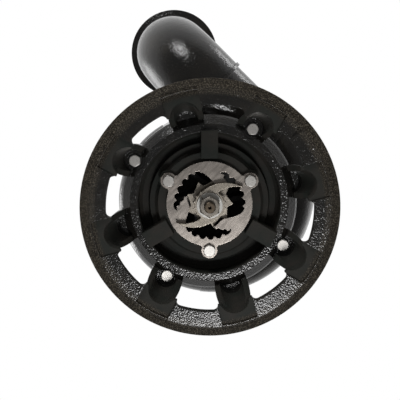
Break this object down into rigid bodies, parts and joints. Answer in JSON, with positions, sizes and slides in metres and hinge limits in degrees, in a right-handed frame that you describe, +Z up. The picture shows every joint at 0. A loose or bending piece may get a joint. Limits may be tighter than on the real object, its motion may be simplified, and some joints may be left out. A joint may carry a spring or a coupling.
{
  "type": "submersible sewage grinder pump",
  "caption": "Submersible grinder pump: ring foot with legs, serrated cutter plate with a turning cutter, spiral casing, upward threaded discharge elbow and sealed motor with a handle.",
  "frame": {"origin": "centre of the foot ring's flat lower face, on the floor and on the shaft's axis", "axes": "+Z up along the shaft, +X the way the sewage leaves the spiral casing before the elbow turns it up"},
  "size_m": [0.2753, 0.2278, 0.427],
  "materials": {
    "black_enamel": "semi-gloss black enamel over sand-cast iron",
    "dark_iron": "bare machined and sand-cast iron",
    "plate_steel": "milled stainless steel, warm grey",
    "cutter_steel": "cast and ground stainless steel",
    "bolt_steel": "stainless hexagon heads",
    "screw_steel": "zinc-plated socket screws",
    "shaft_steel": "ground steel",
    "bearing_steel": "polished bearing steel",
    "spring_steel": "drawn spring steel",
    "seal_carbide": "lapped dark carbide",
    "seal_ceramic": "fired ceramic",
    "rubber": "black nitrile rubber",
    "lamination": "stacked electrical steel",
    "rotor_aluminium": "cast aluminium",
    "copper": "varnished copper",
    "cage_brass": "pressed brass",
    "capacitor_can": "drawn aluminium can",
    "terminal_plastic": "moulded ivory plastic",
    "gland_plastic": "moulded black plastic"
  },
  "bodies": {
    "pump_body": {"base_casting": "black_enamel", "base_bolts": "bolt_steel", "base_o_ring": "rubber", "cutter_plate": "plate_steel", "cutter_plate_bolts": "bolt_steel", "volute_casing": "black_enamel", "discharge_elbow": "black_enamel", "lower_seal_seat": "seal_ceramic", "upper_seal_seat": "seal_ceramic", "oil_chamber": "black_enamel", "oil_chamber_screws": "screw_steel", "oil_chamber_o_ring": "rubber", "oil_plug": "screw_steel", "oil_plug_washer": "copper", "bearing_bracket": "dark_iron", "lower_bearing_outer_race": "bearing_steel", "stator_core": "lamination", "stator_windings": "copper", "motor_housing": "black_enamel", "housing_screws": "screw_steel", "upper_bracket": "dark_iron", "upper_bearing_outer_race": "bearing_steel", "wave_spring": "spring_steel", "capacitor": "capacitor_can", "terminal_block": "terminal_plastic", "top_cover": "black_enamel", "cover_o_ring": "rubber", "cover_screws": "screw_steel", "handle": "black_enamel", "handle_screws": "screw_steel", "gland_body": "gland_plastic", "gland_rubber": "rubber", "gland_nut": "gland_plastic"},
    "rotor": {"shaft": "shaft_steel", "rotor_core": "lamination", "rotor_end_rings": "rotor_aluminium", "impeller": "dark_iron", "impeller_key": "shaft_steel", "toothed_ring": "cutter_steel", "rotary_cutter": "cutter_steel", "lock_washer": "spring_steel", "cutter_nut": "bolt_steel", "lower_bearing_inner_race": "bearing_steel", "upper_bearing_inner_race": "bearing_steel", "lower_seal_ring": "seal_carbide", "seal_spring": "spring_steel", "upper_seal_ring": "seal_carbide"},
    "lower_ball_set": {"lower_bearing_balls": "bearing_steel", "lower_bearing_cage": "cage_brass"},
    "upper_ball_set": {"upper_bearing_balls": "bearing_steel", "upper_bearing_cage": "cage_brass"}
  },
  "joints": [
    {"name": "shaft_spin", "type": "hinge", "parent": "pump_body", "child": "rotor", "pos_m": [0, 0, 0.158], "axis": [0, 0, -1], "continuous": true},
    {"name": "lower_ball_spin", "type": "hinge", "parent": "pump_body", "child": "lower_ball_set", "pos_m": [0, 0, 0.171], "axis": [0, 0, -1], "continuous": true},
    {"name": "upper_ball_spin", "type": "hinge", "parent": "pump_body", "child": "upper_ball_set", "pos_m": [0, 0, 0.3085], "axis": [0, 0, -1], "continuous": true}
  ],
  "couplings": [
    {"joint": "lower_ball_spin", "follows": "shaft_spin", "ratio": 0.395},
    {"joint": "upper_ball_spin", "follows": "shaft_spin", "ratio": 0.395}
  ]
}
